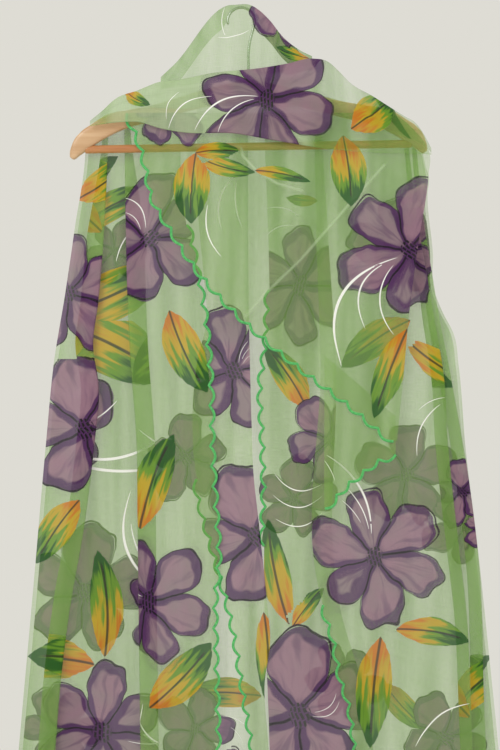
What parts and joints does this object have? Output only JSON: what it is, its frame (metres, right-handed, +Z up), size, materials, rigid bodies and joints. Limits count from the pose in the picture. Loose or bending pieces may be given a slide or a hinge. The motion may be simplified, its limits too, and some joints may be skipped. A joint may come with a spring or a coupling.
{
  "type": "dupatta stole draped on a wooden hanger",
  "caption": "Sheer printed dupatta stole with scalloped borders, draped over a wooden trouser-bar hanger with a steel hook.",
  "frame": {"origin": "inner top of the hook's eye, where a nail or peg holds the hanger", "axes": "+X to the viewer's right along the hanger, +Y away from the viewer, +Z up"},
  "size_m": [0.6586, 0.0602, 1.2506],
  "materials": {
    "organza": "sheer printed organza, matt with a faint sheen",
    "scallop_thread": "embroidered satin stitch",
    "arm_wood": "pale lacquered beech",
    "bar_wood": "warm lacquered dowel",
    "hook_steel": "bright steel wire"
  },
  "bodies": {
    "root": {"hanger_arms": "arm_wood", "hanger_bar": "bar_wood", "hanger_hook": "hook_steel", "stole_peak": "organza", "stole_band": "organza", "stole_front_overlay": "organza", "stole_folded_under": "organza", "stole_left_fall": "organza", "stole_inner_fall": "organza", "stole_centre_fall": "organza", "stole_right_fall": "organza", "stole_back_fall": "organza", "border_front_overlay": "scallop_thread", "border_folded_under": "scallop_thread", "border_left_fall_side": "scallop_thread", "border_left_fall_hem": "scallop_thread", "border_inner_fall_side": "scallop_thread", "border_inner_fall_hem": "scallop_thread", "border_centre_fall_side": "scallop_thread", "border_centre_fall_hem": "scallop_thread", "border_right_fall_side": "scallop_thread", "border_right_fall_hem": "scallop_thread", "border_back_fall_hem": "scallop_thread"}
  },
  "joints": []
}
